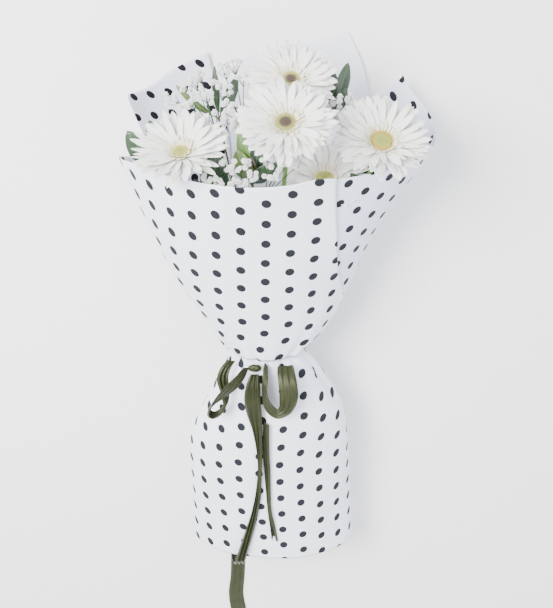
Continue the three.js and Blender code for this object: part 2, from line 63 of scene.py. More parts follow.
def stand_up(points):
    return (np.asarray(points, float) - np.array(offset)) @ np.array(tilt) / MM


# ---- Paper sheets of the cone ----
# Four sheets of matt wrapping paper, printed with dots, fold round the flowers to one oval cone
# and gather at the tie. Each is one grid over the cone, with its print unrolled round the apex.
PAPER_THICKNESS = 0.35
LAYER = 2.2
BACK_INSET = 2 * LAYER
FLOOR_AT_SKIRT = -53
CONE = [  # height, half width, centre across, depth to the front, depth to the back
    [311, 50, -13, 46.5, 41],
    [330, 66, -11, 50, 44],
    [345, 76, -10, 53, 48],
    [372, 91, -11, 60, 55],
    [400, 106, -14, 67, 62],
    [456, 129, -15, 83, 76],
    [513, 153, -10, 99, 90],
    [568, 177, -2, 115, 101],
    [600, 184, 0, 120, 108],
    [640, 190, 1, 122, 112],
    [680, 195, 2, 124, 114],
]
CONE_APEX = np.array([0.0, 165.0, 0.0])


def curve_at(rows, x, column=1):
    """Value of a table at x, on a smooth curve through its rows."""
    table = np.array(rows, float)
    keys, values = table[:, 0], table[:, column]
    x = np.clip(x, keys[0], keys[-1])
    low = np.maximum(np.arange(len(keys)) - 1, 0)
    high = np.minimum(np.arange(len(keys)) + 1, len(keys) - 1)
    slope = (values[high] - values[low]) / (keys[high] - keys[low])
    i = np.clip(np.searchsorted(keys, x, side="right") - 1, 0, len(keys) - 2)
    width = keys[i + 1] - keys[i]
    t = (x - keys[i]) / width
    t2, t3 = t * t, t * t * t
    ends = (2 * t3 - 3 * t2 + 1) * values[i] + (3 * t2 - 2 * t3) * values[i + 1]
    return ends + ((t3 - 2 * t2 + t) * slope[i] + (t3 - t2) * slope[i + 1]) * width


def above_floor(z, y, clearance):
    return np.maximum(z, FLOOR_AT_SKIRT - y * math.tan(LYING_TILT) + clearance)


def paper_swell(angle, y):
    """Soft waves of the stiff paper, shared by all layers, with folds that run to the tie."""
    a = np.radians(angle)
    waves = 0.9 * np.sin(2.3 * a + y / 47) + 0.6 * np.sin(5.1 * a - y / 31 + 1)
    folds = np.sin(9 * a + 0.6) + 0.8 * np.sin(15 * a + 2) + 0.6 * np.sin(22 * a + 4.1)
    return waves * np.clip((y - 330) / 120, 0, 1) + 1.5 * folds * np.exp(-(y - 311) / 34)


def cone_point(angle, y, inset, swell=1):
    a = np.radians(angle)
    out = swell * paper_swell(angle, y) - inset
    depth = np.where(np.cos(a) > 0, curve_at(CONE, y, 3), curve_at(CONE, y, 4)) + out
    x = curve_at(CONE, y, 2) + (curve_at(CONE, y, 1) + out) * np.sin(a)
    z = above_floor(depth * np.cos(a), y, np.maximum(inset - BACK_INSET, 0) + 0.4)
    return np.stack([x, y + 0 * x, z], -1)


unroll_angles = np.arange(-180, 271, 2.0)
unroll_heights = np.arange(300, 701, 10.0)
ring_points = cone_point(unroll_angles[None, :], unroll_heights[:, None] + 0 * unroll_angles, 0, 0)
ring_radii = np.linalg.norm(ring_points - CONE_APEX, axis=-1)
ring_steps = np.linalg.norm(np.diff(ring_points, axis=1), axis=-1)
turned = np.sqrt(np.maximum(ring_steps**2 - np.diff(ring_radii, axis=1) ** 2, 0))
turned /= (ring_radii[:, 1:] + ring_radii[:, :-1]) / 2
unrolled = np.concatenate([np.zeros((len(unroll_heights), 1)), np.cumsum(turned, axis=1)], 1)
unrolled -= unrolled[:, [int(np.argmin(np.abs(unroll_angles)))]]


def cone_print(angle, y):
    """Place on the flat paper of a point of the cone, in millimetres."""
    i = np.clip((angle + 180) / 2, 0, len(unroll_angles) - 1.001)
    j = np.clip((y - 300) / 10, 0, len(unroll_heights) - 1.001)
    i0, j0 = i.astype(int), j.astype(int)
    fi, fj = i - i0, j - j0
    low = unrolled[j0, i0] * (1 - fi) + unrolled[j0, i0 + 1] * fi
    high = unrolled[j0 + 1, i0] * (1 - fi) + unrolled[j0 + 1, i0 + 1] * fi
    turn = low * (1 - fj) + high * fj
    radius = np.linalg.norm(cone_point(angle, y, 0, 0) - CONE_APEX, axis=-1)
    return np.stack([radius * np.sin(turn), radius * np.cos(turn)], -1)


def smooth_rows(keys, steps):
    """Catmull-Rom curve through a list of rows of points, steps between each two."""
    keys = [np.asarray(k, float) for k in keys]
    rows = []
    for i in range(len(keys) - 1):
        p = [keys[max(i - 1, 0)], keys[i], keys[i + 1], keys[min(i + 2, len(keys) - 1)]]
        for k in range(steps):
            t = k / steps
            rows.append(
                0.5
                * (
                    2 * p[1]
                    + (p[2] - p[0]) * t
                    + (2 * p[0] - 5 * p[1] + 4 * p[2] - p[3]) * t * t
                    + (3 * p[1] - p[0] - 3 * p[2] + p[3]) * t**3
                )
            )
    return rows + [keys[-1]]


def grid_faces(rows, columns, first=0):
    return [
        (
            first + j * columns + i,
            first + j * columns + i + 1,
            first + (j + 1) * columns + i + 1,
            first + (j + 1) * columns + i,
        )
        for j in range(rows - 1)
        for i in range(columns - 1)
    ]


def new_piece(name, points, faces, uv=None):
    mesh = bpy.data.meshes.new(name)
    mesh.from_pydata(lay_down(points).tolist(), [], faces)
    if uv is not None:
        layer = mesh.uv_layers.new(name="print")
        corners = np.empty(len(mesh.loops), int)
        mesh.loops.foreach_get("vertex_index", corners)
        layer.data.foreach_set("uv", np.asarray(uv, float)[corners].ravel())
    piece = bpy.data.objects.new(name, mesh)
    bpy.context.collection.objects.link(piece)
    mesh.polygons.foreach_set("use_smooth", [True] * len(mesh.polygons))
    return piece


def apply_modifiers(piece):
    bpy.ops.object.select_all(action="DESELECT")
    piece.select_set(True)
    bpy.context.view_layer.objects.active = piece
    for modifier in list(piece.modifiers):
        bpy.ops.object.modifier_apply(modifier=modifier.name)
    piece.select_set(False)


def thicken(piece, thickness):
    solid = piece.modifiers.new("thickness", "SOLIDIFY")
    solid.thickness = thickness * MM
    solid.offset = 0
    solid.use_even_offset = False
    apply_modifiers(piece)


def stands_for(piece, slot, *nodes):
    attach(piece, "root")
    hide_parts(*nodes)


def new_material(name, colour, roughness):
    material = bpy.data.materials.new(name)
    material.use_nodes = True
    shader = material.node_tree.nodes["Principled BSDF"]
    shader.inputs["Base Color"].default_value = (*colour, 1)
    shader.inputs["Roughness"].default_value = roughness
    return material, material.node_tree, shader


def calculate(tree, operation, a, b=None, c=None):
    node = tree.nodes.new("ShaderNodeMath")
    node.operation = operation
    for socket, value in zip(node.inputs, (a, b, c)):
        if isinstance(value, (int, float)):
            socket.default_value = value
        elif value is not None:
            tree.links.new(value, socket)
    return node.outputs[0]


def ramp(tree, value, stops):
    node = tree.nodes.new("ShaderNodeValToRGB")
    elements = node.color_ramp.elements
    while len(elements) < len(stops):
        elements.new(0.5)
    for element, (position, colour) in zip(elements, stops):
        element.position = position
        element.color = (*colour, 1)
    tree.links.new(value, node.inputs["Fac"])
    return node.outputs["Color"]


def mixed(tree, factor, a, b):
    node = tree.nodes.new("ShaderNodeMix")
    node.data_type = "RGBA"
    for socket, value in ((node.inputs[0], factor), (node.inputs[6], a), (node.inputs[7], b)):
        if isinstance(value, tuple):
            socket.default_value = (*value, 1)
        elif isinstance(value, (int, float)):
            socket.default_value = value
        else:
            tree.links.new(value, socket)
    return node.outputs[2]


def noise_field(tree, scale, detail=3, coordinates="Object"):
    place = tree.nodes.new("ShaderNodeTexCoord")
    node = tree.nodes.new("ShaderNodeTexNoise")
    node.inputs["Scale"].default_value = scale
    node.inputs["Detail"].default_value = detail
    tree.links.new(place.outputs[coordinates], node.inputs["Vector"])
    return node.outputs["Fac"]


def bump(tree, shader, height, distance, strength=1.0):
    node = tree.nodes.new("ShaderNodeBump")
    node.inputs["Distance"].default_value = distance
    node.inputs["Strength"].default_value = strength
    tree.links.new(height, node.inputs["Height"])
    tree.links.new(node.outputs["Normal"], shader.inputs["Normal"])


def own_uv(tree):
    place = tree.nodes.new("ShaderNodeUVMap")
    place.uv_map = "print"
    split = tree.nodes.new("ShaderNodeSeparateXYZ")
    tree.links.new(place.outputs["UV"], split.inputs[0])
    return split.outputs[0], split.outputs[1]


DOT_COLUMNS = 27.5  # spacing of the printed columns of dots
DOT_ROWS = 27
DOT_RADIUS = 5.4


def paper_material(name, paper, dot):
    """Matt paper with fine fibres. Its print counts dot columns in u and dots in v."""
    material, tree, shader = new_material(name, paper, 0.7)
    shader.inputs["Specular IOR Level"].default_value = 0.2
    cloudy = ramp(tree, noise_field(tree, 9), [(0.3, tuple(0.97 * c for c in paper)), (0.7, paper)])
    if dot:
        across, up = own_uv(tree)
        column = calculate(tree, "FLOOR", calculate(tree, "ADD", across, 0.5))
        odd = calculate(tree, "FLOORED_MODULO", column, 2)
        up = calculate(tree, "MULTIPLY_ADD", odd, 0.5, up)
        row = calculate(tree, "FLOOR", calculate(tree, "ADD", up, 0.5))
        aside = calculate(tree, "MULTIPLY", calculate(tree, "SUBTRACT", across, column), DOT_COLUMNS)
        above = calculate(tree, "MULTIPLY", calculate(tree, "SUBTRACT", up, row), DOT_ROWS)
        aside_squared, above_squared = calculate(tree, "POWER", aside, 2), calculate(tree, "POWER", above, 2)
        squared = calculate(tree, "ADD", aside_squared, above_squared)
        reach = calculate(tree, "SQRT", squared)
        outside = tree.nodes.new("ShaderNodeMapRange")
        outside.inputs["From Min"].default_value = DOT_RADIUS - 0.25
        outside.inputs["From Max"].default_value = DOT_RADIUS + 0.25
        tree.links.new(reach, outside.inputs["Value"])
        ink = ramp(tree, noise_field(tree, 400), [(0.35, dot), (0.75, tuple(1.5 * c for c in dot))])
        cloudy = mixed(tree, outside.outputs["Result"], ink, cloudy)
    tree.links.new(cloudy, shader.inputs["Base Color"])
    bump(tree, shader, noise_field(tree, 1800, 4), 0.0001, 0.5)
    return material


# The side and inner sheets get darker copies of the same paper and ink: painted shade for the sheets lying
# deeper in the cone.
white_paper = (0.83, 0.85, 0.95)
shaded_lilac_paper = (0.74, 0.765, 0.92)
front_paper = paper_material("dotted_paper_front", white_paper, (0.01, 0.011, 0.016))
side_paper = paper_material("dotted_paper_side", shaded_lilac_paper, (0.009, 0.009, 0.014))
inner_paper = paper_material("dotted_paper_inner", (0.8, 0.82, 0.93), (0.006, 0.004, 0.009))
plain_paper = paper_material("plain_paper", (0.82, 0.835, 0.92), None)


def neck_ring(angle, y, radius, flattening):
    a = np.radians(angle)
    folded = radius + 0.8 * (np.sin(9 * a + 0.6) + 0.8 * np.sin(15 * a + 2))
    return np.stack([-9 + folded * np.sin(a), y + 0 * a, 3 + folded * flattening * np.cos(a)], -1)


POUCH_NECK = [[298, 32, 1], [327, 32, 1], [334, 37, 1], [322, 43.5, 0.96]]
STRAIGHT_NECK = [[298, 32, 1], [330, 32, 1], [341, 38, 0.95], [348, 50, 0.8], [358, 66, 0.7]]


def cone_sheet(name, left, right, top, neck, start, inset, columns, rows, printed, curl):
    """A sheet between its two edges (angle by height) and up to its top edge (height by angle)."""
    u = np.linspace(0, 1, columns)

    def spread(height):
        return curve_at(left, height) + (curve_at(right, height) - curve_at(left, height)) * u

    key_rows = [neck_ring(spread(start + 0 * u), y, radius - inset, f) for y, radius, f in neck]
    cone_rows, prints = [], []
    for t in np.linspace(0, 1, rows):
        angle = spread(560 + 0 * u)
        for _ in range(6):
            angle = spread(start + (curve_at(top, angle) - start) * t)
        y = start + (curve_at(top, angle) - start) * t
        edge = np.minimum(np.minimum(u, 1 - u) * 12, 1)
        lifted = curl * (1 - edge) ** 2 * t + 0.9 * curl * max(t - 0.93, 0) / 0.07
        cone_rows.append(cone_point(angle, y, inset - lifted))
        prints.append(cone_print(angle, y))
    gathered = smooth_rows(key_rows + [cone_rows[0]], 7)[:-1]
    down = np.linalg.norm(np.diff(np.array(gathered + [cone_rows[0]]), axis=0), axis=-1)
    down = np.cumsum(down[::-1], axis=0)[::-1]
    neck_prints = [prints[0] - np.stack([0 * d, d], -1) for d in down]
    points = np.array(gathered + cone_rows)
    flat = np.array(neck_prints + prints).reshape(-1, 2)
    uv = printed(flat[:, 0], flat[:, 1])
    return new_piece(name, points.reshape(-1, 3), grid_faces(len(points), columns), uv)


def front_print(across, up):
    bowed = across * math.cos(math.radians(2.5)) + up * math.sin(math.radians(2.5)) * -1
    raised = up * math.cos(math.radians(2.5)) + across * math.sin(math.radians(2.5))
    bowed = bowed + (raised - 265) ** 2 / 1300
    raised = raised - 0.0012 * (bowed - 18) ** 2
    return np.stack([(bowed - 18) / DOT_COLUMNS, (raised - 264) / 26.85], -1)


def turned_print(degrees, across_shift, up_shift, columns=DOT_COLUMNS, rows=DOT_ROWS):
    c, s = math.cos(math.radians(degrees)), math.sin(math.radians(degrees))

    def place(across, up):
        return np.stack(
            [
                (across * c - up * s) / columns - across_shift,
                (across * s + up * c) / rows - up_shift,
            ],
            -1,
        )

    return place


front_sheet = cone_sheet(
    "paper_front_sheet",
    left=[[311, -112], [570, -104], [640, -100]],
    right=[
        [311, 114], [345, 102], [372, 82], [400, 61], [435, 46], [482, 35], [519, 28], [565, 21],
        [620, 18],
    ],
    top=[
        [-112, 546], [-100, 550], [-86, 557], [-72, 563], [-56, 566], [-40, 561], [-12, 556], [5, 559],
        [14, 565], [22, 565], [60, 570],
    ],
    neck=POUCH_NECK,
    start=311,
    inset=0,
    columns=121,
    rows=90,
    printed=front_print,
    curl=1.2,
)
right_sheet = cone_sheet(
    "paper_right_sheet",
    left=[[372, 40], [456, 15], [565, -4], [640, -8]],
    right=[[372, 150], [540, 150], [590, 141], [632, 128], [680, 120]],
    top=[
        [-10, 540], [10, 554], [22, 562], [46, 566], [65, 571], [80, 579], [92, 587], [110, 603],
        [122, 618], [128, 632], [150, 650],
    ],
    neck=STRAIGHT_NECK,
    start=372,
    inset=LAYER,
    columns=91,
    rows=70,
    printed=turned_print(7.5, 0.095, -0.06, 25, 26.5),
    curl=0.6,
)
middle_back_sheet = cone_sheet(
    "paper_middle_back_sheet",
    left=[[372, 242], [560, 240], [640, 226], [680, 222]],
    right=[[372, 118], [500, 122], [600, 141], [640, 147], [676, 154]],
    top=[[154, 676], [168, 666], [188, 653], [200, 640], [226, 622], [240, 616]],
    neck=STRAIGHT_NECK,
    start=372,
    inset=BACK_INSET,
    columns=81,
    rows=70,
    printed=turned_print(0, 0, 0),
    curl=0,
)
left_back_sheet = cone_sheet(
    "paper_left_back_sheet",
    left=[[372, 248], [560, 246], [618, 254], [660, 256]],
    right=[[372, 196], [560, 200], [655, 207], [680, 208]],
    top=[[207, 655], [223, 637], [238, 621], [254, 618]],
    neck=STRAIGHT_NECK,
    start=372,
    inset=BACK_INSET + 2 * LAYER,
    columns=61,
    rows=70,
    printed=turned_print(-23, 0.362, 0.057, 27, 26),
    curl=0.4,
)
for sheet, material, node, flat, area in (
    (front_sheet, front_paper, "wrap_front_sheet", (0.353, 0.356), 0.082),
    (right_sheet, side_paper, "wrap_right_sheet", (0.325, 0.356), 0.0671),
    (middle_back_sheet, plain_paper, "wrap_middle_back_sheet", (0.328, 0.463), 0.0806),
    (left_back_sheet, inner_paper, "wrap_left_back_sheet", (0.332, 0.195), 0.0303),
):
    sheet.data.materials.append(material)
    thicken(sheet, PAPER_THICKNESS)
    stands_for(sheet, "plain_paper" if material is plain_paper else "dotted_paper", node)

# ---- Paper skirt ----
# A fifth dotted sheet is rolled round the stems and tied over the cone's neck. It is gathered in
# folds at the tie and stands open, cut straight, at the bottom. Its seam lies on the floor.
SKIRT = [  # height, half width, centre across, half depth, centre in depth
    [0, 113, -4, 58.5, 0],
    [60, 110, -7, 58.5, 0],
    [120, 109, -10, 58.5, 0],
    [165, 106, -11, 58.5, 0],
    [200, 98, -8, 58, 0],
    [222, 90, -6, 57, 0],
    [260, 70, -7, 52, 0],
    [288, 53, -8, 46, 1],
    [304, 41, -9, 38, 3],
    [311, 35.6, -9, 35.6, 3],
    [324, 34.4, -9, 34.4, 3],
]


def skirt_point(angle, y, out):
    a = np.radians(angle)
    folds = np.sin(8 * a + 1) + 0.8 * np.sin(13 * a + 0.2) + 0.5 * np.sin(21 * a + 2)
    near_tie = np.exp(-((np.clip(311 - y, 0, None) - 26) ** 2) / 2400)
    out = out + 1.3 * folds * near_tie * np.clip((324 - y) / 14, 0, 1)
    out = out + 0.7 * np.sin(3.2 * a + y / 60) + 0.4 * np.sin(7 * a - y / 25)
    x = curve_at(SKIRT, y, 2) + (curve_at(SKIRT, y, 1) + out) * np.sin(a)
    z = curve_at(SKIRT, y, 4) + (curve_at(SKIRT, y, 3) + out) * np.cos(a)
    return x, z


skirt_rows, skirt_columns = 110, 201
SEAM = 188  # the sheet goes this many degrees each way from its front line
skirt_angles = np.linspace(-SEAM, SEAM, skirt_columns)
skirt_heights = np.linspace(0, 324, skirt_rows)
grid_angle, grid_height = np.meshgrid(skirt_angles, skirt_heights)
layer_out = (grid_angle + SEAM) / (2 * SEAM)
x, z = skirt_point(grid_angle, grid_height, 1.4 * layer_out - 0.4)
z = above_floor(z, grid_height, 0.4 + 1.2 * (1 - layer_out))
skirt_points = np.stack([x, grid_height, z], -1)
plain_x, plain_z = (
    curve_at(SKIRT, grid_height, 2) + curve_at(SKIRT, grid_height, 1) * np.sin(np.radians(grid_angle)),
    curve_at(SKIRT, grid_height, 4) + curve_at(SKIRT, grid_height, 3) * np.cos(np.radians(grid_angle)),
)
round_it = np.hypot(np.diff(plain_x, axis=1), np.diff(plain_z, axis=1))
round_it = np.concatenate([np.zeros((skirt_rows, 1)), np.cumsum(round_it, axis=1)], 1)
round_it -= round_it[:, [skirt_columns // 2]]
raised = grid_height - 12 * np.clip(round_it / 90, -1.4, 1.4) ** 2
skirt_uv = np.stack([(round_it - 15) / 26.8, (raised - 24.6) / 27.2], -1).reshape(-1, 2)
skirt = new_piece("paper_skirt", skirt_points.reshape(-1, 3), grid_faces(skirt_rows, skirt_columns), skirt_uv)
skirt.data.materials.append(front_paper)
thicken(skirt, PAPER_THICKNESS)
stands_for(skirt, "dotted_paper", "wrap_skirt")

# ---- Satin ribbon ----
# An olive green satin ribbon is wound round the tie over the skirt and tied in a bow with two
# loops and two tails. All are strips of the same ribbon, gathered in soft pleats where they narrow.
SATIN_THICKNESS = 0.3
SATIN_WIDTH = 24
PLEATS = 3


def pleat_depth(width, pleats):
    """Depth to each side of soft pleats that gather the whole ribbon into this width."""
    return math.sqrt(max(SATIN_WIDTH**2 - width**2, 0)) / (4 * pleats)


TIE_HEIGHT = 318


def floor_rest(x, y):
    return [x, y, FLOOR_AT_SKIRT - y * math.tan(LYING_TILT) + 1.4]


RIBBON_ROUTES = {  # points of the middle line, direction across the ribbon, width
    "right_loop": [
        [[-13, 306, 47], [0.3, 0, 1], 9],
        [[-14, 297, 57], [0.3, 0, 1], 19],
        [[-15, 283, 66], [0.3, 0, 1], 23],
        [[-13, 269, 69], [0.5, 0.2, 0.9], 22],
        [[-8, 256, 71], [0.7, 0.6, 0.6], 20],
        [[1, 249, 72], [0, 1, 0.3], 18],
        [[11, 256, 72], [-0.8, 0.7, 0.2], 20],
        [[15, 272, 71], [-1, 0.1, 0.1], 23],
        [[14, 288, 66], [-1, 0, 0], 23],
        [[12, 299, 57], [-1, 0, 0.1], 22],
        [[11, 305, 48], [-1, 0, 0.2], 20],
    ],
    "left_loop": [
        [[-38, 304, 51], [-0.4, 0.5, 0.8], 14],
        [[-44, 299, 62], [-0.5, 0.5, 0.7], 20],
        [[-54, 289, 69], [-0.6, 0.5, 0.6], 22],
        [[-68, 275, 71], [-0.5, 0.4, 0.7], 22],
        [[-79, 261, 70], [-0.2, 0.3, 0.9], 20],
        [[-84, 251, 69], [0, 0, 1], 18],
        [[-79, 244, 67], [0, 0, 1], 15],
        [[-70, 247, 64], [0, 0, 1], 12],
        [[-63, 257, 60], [-0.3, 0, 1], 11],
        [[-63, 271, 55], [-0.8, 0, 0.6], 13],
        [[-66, 287, 49], [-0.9, 0, 0.5], 16],
        [[-62, 299, 44], [-0.8, 0.2, 0.5], 16],
        [[-55, 307, 39], [-0.7, 0.4, 0.5], 12],
    ],
    "long_tail": [
        [[-27, 294, 50], [1, 0, 0], 10],
        [[-29, 280, 57], [1, 0, 0.2], 18],
        [[-30, 262, 60.5], [1, 0, 0.2], 21],
        [[-28, 240, 62], [1, 0, 0.3], 20],
        [[-25, 217, 63], [1, 0, 0.5], 14],
        [[-22.5, 190, 63], [1, 0, 0.9], 9],
        [[-21.5, 165, 63], [0.5, 0, 1], 6],
        [[-22.5, 140, 63], [0.5, 0, 1], 6],
        [[-25, 112, 62.5], [1, 0, 0.9], 8],
        [[-31, 76, 61.5], [1, 0, 0.5], 10],
        [[-39, 42, 62], [1, 0, 0.2], 12],
        [[-46, 14, 62.6], [1, 0, 0], 13],
        [[-51, -6, 61], [1, 0.1, 0], 15],
        [[-54, -19, 40], [1, 0.1, 0], 17],
        [[-56, -24, 5], [1, 0, 0], 19],
        [[-57, -31, -28], [1, 0, 0], 21],
        [floor_rest(-58, -54), [1, 0, 0], 22],
        [floor_rest(-59, -90), [1, 0, 0], 22],
        [floor_rest(-61, -135), [1, 0.1, 0], 22],
        [floor_rest(-64, -170), [1, 0, 0], 23],
        [floor_rest(-60, -205), [1, 0.3, 0], 24],
        [floor_rest(-51, -238), [1, 0.3, 0], 24],
    ],
    "short_tail": [
        [[-13, 228, 61], [0.6, 0, 0.8], 8],
        [[-14, 190, 62], [0.8, 0, 0.7], 10],
        [[-12.5, 154, 62], [0.8, 0, 0.7], 9],
        [[-11, 120, 62], [0.6, 0, 0.8], 7],
        [[-9.5, 90, 62], [0.4, 0, 1], 6],
        [[-6, 62, 61.5], [0.8, 0, 0.6], 7],
        [[-2.5, 32, 61], [0.9, 0, 0.3], 9],
    ],
}

satin, tree, shader = new_material("olive_satin", (0.035, 0.042, 0.016), 0.33)
shader.inputs["Specular IOR Level"].default_value = 0.5
shader.inputs["Anisotropic"].default_value = 0.5
shader.inputs["Specular Tint"].default_value = (0.8, 0.85, 0.55, 1)
shader.inputs["Sheen Weight"].default_value = 0.05
shader.inputs["Sheen Roughness"].default_value = 0.35
shader.inputs["Sheen Tint"].default_value = (0.75, 0.8, 0.5, 1)
across, along_it = own_uv(tree)
off_middle = calculate(tree, "ABSOLUTE", calculate(tree, "SUBTRACT", across, 0.5))
selvedge = calculate(tree, "GREATER_THAN", off_middle, 0.465)
mottled = ramp(tree, noise_field(tree, 60), [(0.3, (0.011, 0.014, 0.005)), (0.7, (0.02, 0.024, 0.009))])
tree.links.new(mixed(tree, selvedge, mottled, (0.008, 0.01, 0.004)), shader.inputs["Base Color"])
threads = calculate(tree, "SINE", calculate(tree, "MULTIPLY", across, 340))
bump(tree, shader, calculate(tree, "MULTIPLY_ADD", noise_field(tree, 220), 2, threads), 0.00006, 0.6)


def ribbon_strip(name, route, cut_tail):
    steps = 12
    middle = np.array(smooth_rows([p for p, _, _ in route], steps))
    side = np.array(smooth_rows([s for _, s, _ in route], steps))
    side /= np.linalg.norm(side, axis=1, keepdims=True)
    width = np.array(smooth_rows([[w] for _, _, w in route], steps))
    heading = np.gradient(middle, axis=0)
    heading /= np.linalg.norm(heading, axis=1, keepdims=True)
    face = np.cross(heading, side)
    columns = 8 * PLEATS + 1
    length = np.concatenate([[0], np.cumsum(np.linalg.norm(np.diff(middle, axis=0), axis=1))])
    rows, uv = [], []
    for k in range(len(middle)):
        s = np.linspace(-0.5, 0.5, columns)
        pleated = pleat_depth(float(width[k][0]), PLEATS) * np.cos(2 * math.pi * PLEATS * s)
        row = middle[k] + s[:, None] * width[k] * side[k] + pleated[:, None] * face[k]
        if cut_tail:
            last = np.clip((length[k] - length[-1] + 34) / 34, 0, 1)
            row = row - heading[k] * ((0.5 - np.abs(s)) * 2 * 13 * last**2)[:, None]
        rows.append(row)
        uv.append(np.stack([s + 0.5, 0 * s + length[k] / 24], -1))
    points = np.array(rows).reshape(-1, 3)
    points[:, 2] = above_floor(points[:, 2], points[:, 1], 0.4)
    piece = new_piece(name, points, grid_faces(len(rows), columns), np.array(uv).reshape(-1, 2))
    piece.data.materials.append(satin)
    thicken(piece, SATIN_THICKNESS)
    return piece, length[-1]


for name, route in RIBBON_ROUTES.items():
    strip, length = ribbon_strip(f"satin_{name}", route, name.endswith("tail"))
    stands_for(strip, "satin_ribbon", f"ribbon_{name}")

BAND_WIDTH = 10.8
BAND_PLEATS = 5
band_angles = np.radians(np.linspace(0, 360, 97))
band_rows = []
for t in np.linspace(-1, 1, 8 * BAND_PLEATS + 1):
    pleat = pleat_depth(BAND_WIDTH, BAND_PLEATS) * np.cos(math.pi * BAND_PLEATS * t)
    gathered = 38 + pleat + 0.1 * np.sin(5 * math.pi * t + 6 * band_angles)
    band_rows.append(
        np.stack(
            [
                -9 + gathered * np.sin(band_angles),
                TIE_HEIGHT + BAND_WIDTH / 2 * t + 0.8 * np.sin(2 * band_angles),
                3 + gathered * np.cos(band_angles),
            ],
            -1,
        )
    )
turns_along, turns_across = np.linspace(0, 10, 97), np.linspace(0, 1, len(band_rows))
band_uv = np.stack(np.meshgrid(turns_along, turns_across)[::-1], -1).reshape(-1, 2)
band = new_piece("satin_band", np.array(band_rows).reshape(-1, 3), grid_faces(len(band_rows), 97), band_uv)
band.data.materials.append(satin)
thicken(band, SATIN_THICKNESS)
stands_for(band, "satin_ribbon", "ribbon_band")

bpy.ops.mesh.primitive_uv_sphere_add(segments=40, ring_count=24, radius=1)
knot = bpy.context.object
knot.name = "satin_knot"
for vertex in knot.data.vertices:
    x, y, z = vertex.co
    crease = 1 - 0.13 * math.exp(-((x - 0.2 * y) ** 2) / 0.02) - 0.08 * math.exp(-((x + 0.55) ** 2) / 0.01)
    centre = Vector((x * 8.4, y * 5.4, z * 3.9)) * crease + KNOT_CENTRE
    vertex.co = lay_down(centre)
layer = knot.data.uv_layers[0]
layer.name = "print"
knot.data.polygons.foreach_set("use_smooth", [True] * len(knot.data.polygons))
knot.data.materials.append(satin)
stands_for(knot, "satin_ribbon", "ribbon_knot")

# ---- Stems and their binding ----
# Fleshy green gerbera stems, thin spray stems and woody sprig stems all pass the tie, pressed
# together and bound with raffia, and end cut off inside the skirt. Each follows its CAD route.
def stem_route(node, top):
    """Middle line of a CAD stem up to the height top, from the rings of its tube."""
    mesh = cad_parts[node].data
    points = np.empty(3 * len(mesh.vertices))
    mesh.vertices.foreach_get("co", points)
    points = stand_up(points.reshape(-1, 3) @ np.array(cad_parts[node].matrix_world.to_3x3()).T)
    points = points[points[:, 1] < top]
    points = points[np.argsort(points[:, 1])]
    cuts = np.flatnonzero(np.diff(points[:, 1]) > 6) + 1
    return [(ring.min(axis=0) + ring.max(axis=0)) / 2 for ring in np.split(points, cuts)]


def tube(route, radii, sides, steps=4):
    """Vertices, faces and print of a closed tube along a smooth route; radii from end to end."""
    middle = np.array(smooth_rows(route, steps))
    heading = np.gradient(middle, axis=0)
    heading /= np.linalg.norm(heading, axis=1, keepdims=True)
    across = np.cross(heading, [0.31, 0.17, 0.93])
    across /= np.linalg.norm(across, axis=1, keepdims=True)
    other = np.cross(heading, across)
    t = np.linspace(0, 1, len(middle))
    radius = np.interp(t, np.linspace(0, 1, len(radii)), radii)
    turn = np.linspace(0, 2 * math.pi, sides, endpoint=False)
    ring = np.cos(turn)[None, :, None] * across[:, None] + np.sin(turn)[None, :, None] * other[:, None]
    points = (middle[:, None] + ring * radius[:, None, None]).reshape(-1, 3)
    faces = []
    for j in range(len(middle) - 1):
        for i in range(sides):
            k = (i + 1) % sides
            faces.append((j * sides + i, j * sides + k, (j + 1) * sides + k, (j + 1) * sides + i))
    faces.append(tuple(range(sides - 1, -1, -1)))
    faces.append(tuple(range((len(middle) - 1) * sides, len(middle) * sides)))
    uv = np.stack(np.meshgrid(turn / (2 * math.pi), t), -1).reshape(-1, 2)
    return points, faces, uv


class Parts:
    """Collects closed shapes with their print and material number for one piece."""

    def __init__(self):
        self.points, self.faces, self.uv, self.kinds = [], [], [], []

    def add(self, points, faces, uv, kind=0):
        first = sum(len(p) for p in self.points)
        self.points.append(np.asarray(points))
        self.faces += [tuple(first + i for i in face) for face in faces]
        self.uv.append(np.asarray(uv))
        self.kinds += [kind] * len(faces)

    def piece(self, name, materials):
        piece = new_piece(name, np.concatenate(self.points), self.faces, np.concatenate(self.uv))
        for material in materials:
            piece.data.materials.append(material)
        piece.data.polygons.foreach_set("material_index", self.kinds)
        return piece


stem_green, tree, shader = new_material("gerbera_stem", (0.12, 0.22, 0.05), 0.45)
shader.inputs["Subsurface Weight"].default_value = 0.1
shader.inputs["Subsurface Radius"].default_value = (0.002, 0.003, 0.001)
across, along_it = own_uv(tree)
colour = ramp(
    tree,
    along_it,
    [(0, (0.19, 0.2, 0.07)), (0.35, (0.1, 0.2, 0.045)), (1, (0.15, 0.27, 0.07))],
)
patches = calculate(tree, "MULTIPLY", noise_field(tree, 260), 0.5)
tree.links.new(mixed(tree, patches, colour, (0.06, 0.12, 0.03)), shader.inputs["Base Color"])
bump(tree, shader, calculate(tree, "SINE", calculate(tree, "MULTIPLY", across, 63)), 0.0002, 0.5)

